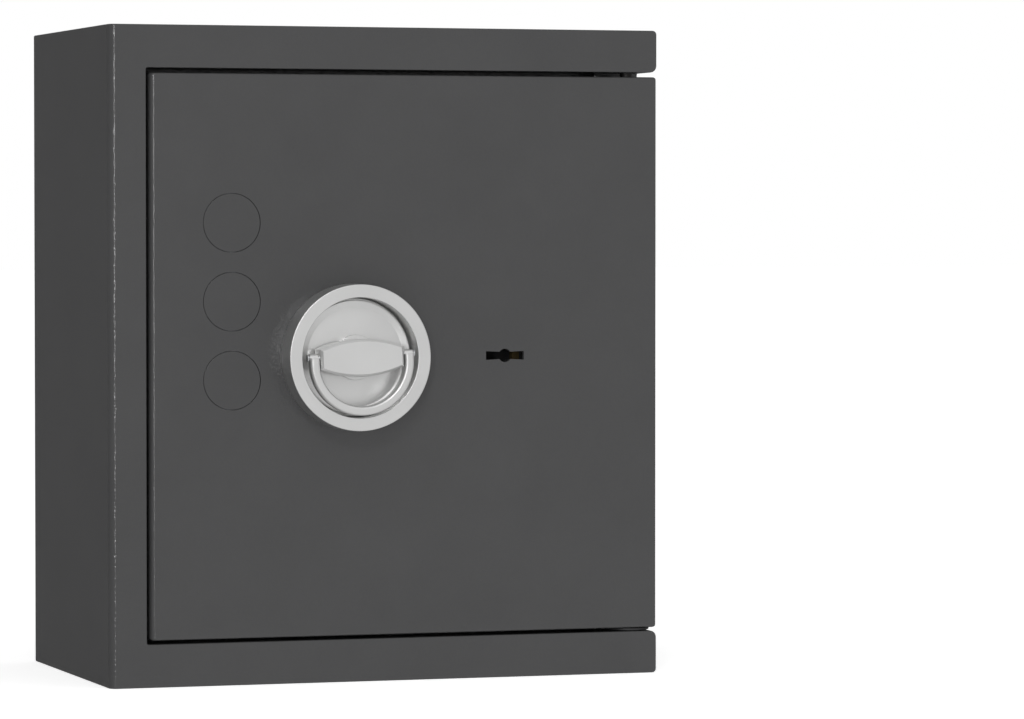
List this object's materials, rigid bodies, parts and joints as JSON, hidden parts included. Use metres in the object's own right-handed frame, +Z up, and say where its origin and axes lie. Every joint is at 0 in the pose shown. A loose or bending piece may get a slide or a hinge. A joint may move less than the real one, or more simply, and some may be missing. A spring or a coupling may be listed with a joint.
{
  "type": "wall safe",
  "caption": "Small steel wall safe: right-hinged flush door, drop-ring turn handle, double-bit keyhole, blanked holes, boltwork, key lock and lined interior with a shelf.",
  "frame": {"origin": "middle of the casing's flat back face, which goes against the wall", "axes": "+X to the right seen from the front, +Y backwards into the wall (the front faces -Y), +Z up"},
  "size_m": [0.28, 0.1794, 0.32],
  "materials": {
    "powder_coat": "fine-textured satin powder coat",
    "satin_metal": "satin matt plated casting",
    "bright_steel": "bright turned steel",
    "zinc_steel": "zinc-plated sheet steel",
    "brass_parts": "plain machined brass",
    "lock_casting": "dark painted cast lock body",
    "dark_steel": "hardened blackened steel",
    "nylon": "black nylon",
    "insulation_board": "dull fibre board"
  },
  "bodies": {
    "casing": {"outer_casing": "powder_coat", "back_plate": "powder_coat", "inner_liner": "powder_coat", "insulation_top": "insulation_board", "insulation_bottom": "insulation_board", "insulation_left": "insulation_board", "insulation_right": "insulation_board", "insulation_back": "insulation_board", "keeper_strip": "zinc_steel", "shelf": "powder_coat", "shelf_peg_1": "bright_steel", "shelf_peg_2": "bright_steel", "shelf_peg_3": "bright_steel", "shelf_peg_4": "bright_steel", "hinge_block_upper": "zinc_steel", "hinge_block_lower": "zinc_steel", "hinge_pin_upper": "dark_steel", "hinge_pin_lower": "dark_steel"},
    "door": {"door_panel": "powder_coat", "blanking_plug_1": "powder_coat", "blanking_plug_2": "powder_coat", "blanking_plug_3": "powder_coat", "plug_retainer": "zinc_steel", "armour_plate": "dark_steel", "rear_cover": "powder_coat", "cover_screw_1": "zinc_steel", "cover_screw_2": "zinc_steel", "cover_screw_3": "zinc_steel", "cover_screw_4": "zinc_steel", "hinge_side_bar": "powder_coat", "handle_escutcheon": "satin_metal", "handle_clamp_plate": "zinc_steel", "clamp_screw_1": "zinc_steel", "clamp_screw_2": "zinc_steel", "hinge_bush_upper": "brass_parts", "hinge_bush_lower": "brass_parts", "hinge_washer": "nylon", "bar_guide_1": "zinc_steel", "bar_guide_2": "zinc_steel", "bar_guide_3": "zinc_steel", "lock_case": "lock_casting", "lock_cover": "lock_casting", "lock_screw_1": "zinc_steel", "lock_screw_2": "zinc_steel"},
    "handle": {"handle_rotor": "satin_metal", "handle_bridge": "satin_metal", "handle_spindle": "zinc_steel", "bail_pin": "bright_steel", "spindle_circlip": "bright_steel", "drive_cam": "zinc_steel"},
    "bail": {"bail": "satin_metal"},
    "boltwork": {"bolt_bar": "zinc_steel", "bolt_upper": "bright_steel", "bolt_lower": "bright_steel"},
    "lock_bolt": {"lock_bolt": "brass_parts"},
    "lock_levers": {"lock_lever_1": "brass_parts", "lock_lever_2": "brass_parts", "lock_lever_3": "brass_parts"}
  },
  "joints": [
    {"name": "door_hinge", "type": "hinge", "parent": "casing", "child": "door", "pos_m": [0.128, -0.148, 0], "axis": [0, 0, 1], "range_deg": [0, 180]},
    {"name": "handle_turn", "type": "hinge", "parent": "door", "child": "handle", "pos_m": [-0.0186, -0.16, -0.001], "axis": [0, -1, 0], "range_deg": [0, 90]},
    {"name": "bail_lift", "type": "hinge", "parent": "handle", "child": "bail", "pos_m": [-0.01864, -0.1756, 0], "axis": [-0.9992, 0, -0.0401], "range_deg": [0, 90]},
    {"name": "boltwork_slide", "type": "slide", "parent": "door", "child": "boltwork", "axis": [-1, 0, 0], "range_m": [0, 0.016]},
    {"name": "lock_throw", "type": "slide", "parent": "door", "child": "lock_bolt", "axis": [0, 0, 1], "range_m": [0, 0.012]},
    {"name": "lever_lift", "type": "hinge", "parent": "door", "child": "lock_levers", "pos_m": [0.04, -0.1405, -0.032], "axis": [0, -1, 0], "range_deg": [0, 5], "stiffness_Nm_per_rad": 0.05, "springref_deg": -5.73}
  ],
  "couplings": [
    {"joint": "handle_turn", "follows": "boltwork_slide", "rad_per_m": 98.17}
  ]
}
